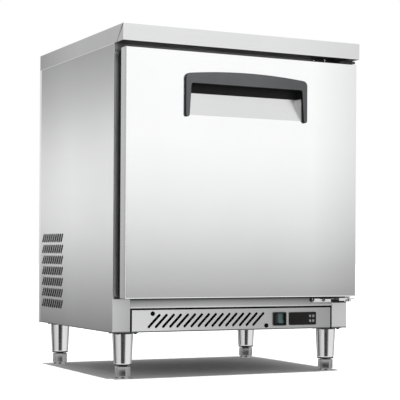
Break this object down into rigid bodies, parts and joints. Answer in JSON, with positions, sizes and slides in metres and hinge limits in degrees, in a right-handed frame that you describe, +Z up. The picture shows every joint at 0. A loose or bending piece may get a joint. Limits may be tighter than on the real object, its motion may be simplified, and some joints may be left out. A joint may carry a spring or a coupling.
{
  "type": "refrigerated counter",
  "caption": "Compact stainless steel refrigerated counter with a solid hinged door, arched grip handle, slotted kick panel and adjustable legs.",
  "frame": {"origin": "on the floor under the middle of the whole object's width and depth", "axes": "+X to the right of someone who faces the door, +Y to the back, +Z up"},
  "size_m": [0.7, 0.638, 0.9],
  "materials": {
    "worktop_steel": "fine brushed stainless steel, grain along the width",
    "side_steel": "fine brushed stainless steel, grain along the depth",
    "door_steel": "satin stainless steel, upright grain",
    "kick_steel": "fine brushed stainless steel, grain along the width",
    "frame_steel": "satin stainless steel in the shade of the door",
    "liner_steel": "smooth satin stainless steel lining",
    "pan_steel": "satin stainless steel scoop",
    "hinge_steel": "polished steel plate",
    "screw_steel": "bright zinc plated steel",
    "leg_steel": "polished pressed stainless steel",
    "foot_steel": "turned stainless steel",
    "wire_steel": "bright plated steel wire",
    "galvanised_steel": "galvanised sheet with a faint spangle",
    "fin_aluminium": "bright aluminium fins on copper tube",
    "condenser_fins": "dark painted fins",
    "compressor_paint": "semi gloss black paint",
    "motor_metal": "satin dark grey casting",
    "copper_pipe": "dull drawn copper",
    "handle_plastic": "satin dark grey moulding, fine grained",
    "black_plastic": "black moulded plastic",
    "black_gloss": "glossy black moulding",
    "window_plastic": "dark smoked window",
    "key_plastic": "silver grey keys",
    "rocker_plastic": "smoked teal translucent rocker",
    "grey_plastic": "light grey extrusion",
    "white_plastic": "white moulding",
    "fan_plastic": "grey glass filled moulding",
    "nylon": "natural nylon",
    "gasket_rubber": "soft black extrusion",
    "black_rubber": "black rubber",
    "foam": "rigid cream foam with cut cells"
  },
  "bodies": {
    "cabinet": {"worktop": "worktop_steel", "side_panel_left": "side_steel", "side_panel_right": "side_steel", "back_panel": "galvanised_steel", "front_frame": "frame_steel", "breaker_frame": "grey_plastic", "cabin_liner": "liner_steel", "cabinet_foam": "foam", "bottom_panel": "galvanised_steel", "base_pan": "galvanised_steel", "corner_post_left": "side_steel", "corner_post_right": "side_steel", "kick_panel": "kick_steel", "kick_caps": "black_plastic", "switch_bezel": "black_plastic", "controller_case": "black_gloss", "controller_window": "window_plastic", "leg_front_left": "leg_steel", "leg_front_right": "leg_steel", "leg_rear_left": "leg_steel", "leg_rear_right": "leg_steel", "hinge_bracket_bottom": "hinge_steel", "hinge_bracket_top": "hinge_steel", "hinge_screws": "screw_steel", "shelf_uprights": "liner_steel", "shelf_clips": "screw_steel", "shelf_upper": "wire_steel", "shelf_lower": "wire_steel", "evaporator_coil": "fin_aluminium", "evaporator_cover": "white_plastic", "evaporator_fan_motor": "motor_metal", "compressor": "compressor_paint", "compressor_grommets": "black_rubber", "condenser_coil": "condenser_fins", "condenser_shroud": "black_plastic", "condenser_fan_motor": "motor_metal", "discharge_pipe": "copper_pipe", "liquid_line": "copper_pipe", "suction_pipe": "copper_pipe", "drain_tray": "black_plastic", "cable_gland": "black_plastic"},
    "door": {"door_skin": "door_steel", "door_liner": "liner_steel", "door_foam": "foam", "door_gasket": "gasket_rubber", "handle_bezel": "handle_plastic", "handle_cup": "black_plastic", "handle_pan": "pan_steel", "hinge_bushes": "nylon"},
    "rocker": {"switch_rocker": "rocker_plastic"},
    "set_key": {"button_set": "key_plastic"},
    "defrost_key": {"button_defrost": "key_plastic"},
    "up_key": {"button_up": "key_plastic"},
    "down_key": {"button_down": "key_plastic"},
    "front_left_foot": {"foot_front_left": "foot_steel"},
    "front_right_foot": {"foot_front_right": "foot_steel"},
    "rear_left_foot": {"foot_rear_left": "foot_steel"},
    "rear_right_foot": {"foot_rear_right": "foot_steel"},
    "cabin_fan": {"evaporator_fan": "white_plastic"},
    "cooling_fan": {"condenser_fan": "fan_plastic"}
  },
  "joints": [
    {"name": "door_hinge", "type": "hinge", "parent": "cabinet", "child": "door", "pos_m": [0.334, -0.285, 0.525], "axis": [0, 0, 1], "range_deg": [0, 110]},
    {"name": "rocker_tilt", "type": "hinge", "parent": "cabinet", "child": "rocker", "pos_m": [0.13675, -0.246, 0.148], "axis": [1, 0, 0], "range_deg": [0, 16]},
    {"name": "set_key_press", "type": "slide", "parent": "cabinet", "child": "set_key", "axis": [0, 1, 0], "range_m": [0, 0.0008], "stiffness_N_per_m": 300, "springref_m": -0.0005},
    {"name": "up_key_press", "type": "slide", "parent": "cabinet", "child": "up_key", "axis": [0, 1, 0], "range_m": [0, 0.0008], "stiffness_N_per_m": 300, "springref_m": -0.0005},
    {"name": "defrost_key_press", "type": "slide", "parent": "cabinet", "child": "defrost_key", "axis": [0, 1, 0], "range_m": [0, 0.0008], "stiffness_N_per_m": 300, "springref_m": -0.0005},
    {"name": "down_key_press", "type": "slide", "parent": "cabinet", "child": "down_key", "axis": [0, 1, 0], "range_m": [0, 0.0008], "stiffness_N_per_m": 300, "springref_m": -0.0005},
    {"name": "front_left_foot_screw", "type": "slide", "parent": "cabinet", "child": "front_left_foot", "axis": [0, 0, -1], "range_m": [0, 0.03]},
    {"name": "front_right_foot_screw", "type": "slide", "parent": "cabinet", "child": "front_right_foot", "axis": [0, 0, -1], "range_m": [0, 0.03]},
    {"name": "rear_left_foot_screw", "type": "slide", "parent": "cabinet", "child": "rear_left_foot", "axis": [0, 0, -1], "range_m": [0, 0.03]},
    {"name": "rear_right_foot_screw", "type": "slide", "parent": "cabinet", "child": "rear_right_foot", "axis": [0, 0, -1], "range_m": [0, 0.03]},
    {"name": "cabin_fan_spin", "type": "hinge", "parent": "cabinet", "child": "cabin_fan", "pos_m": [-0.15, 0.2125, 0.722], "axis": [0, 1, 0], "continuous": true},
    {"name": "cooling_fan_spin", "type": "hinge", "parent": "cabinet", "child": "cooling_fan", "pos_m": [-0.252, 0.199, 0.247], "axis": [1, 0, 0], "continuous": true}
  ]
}
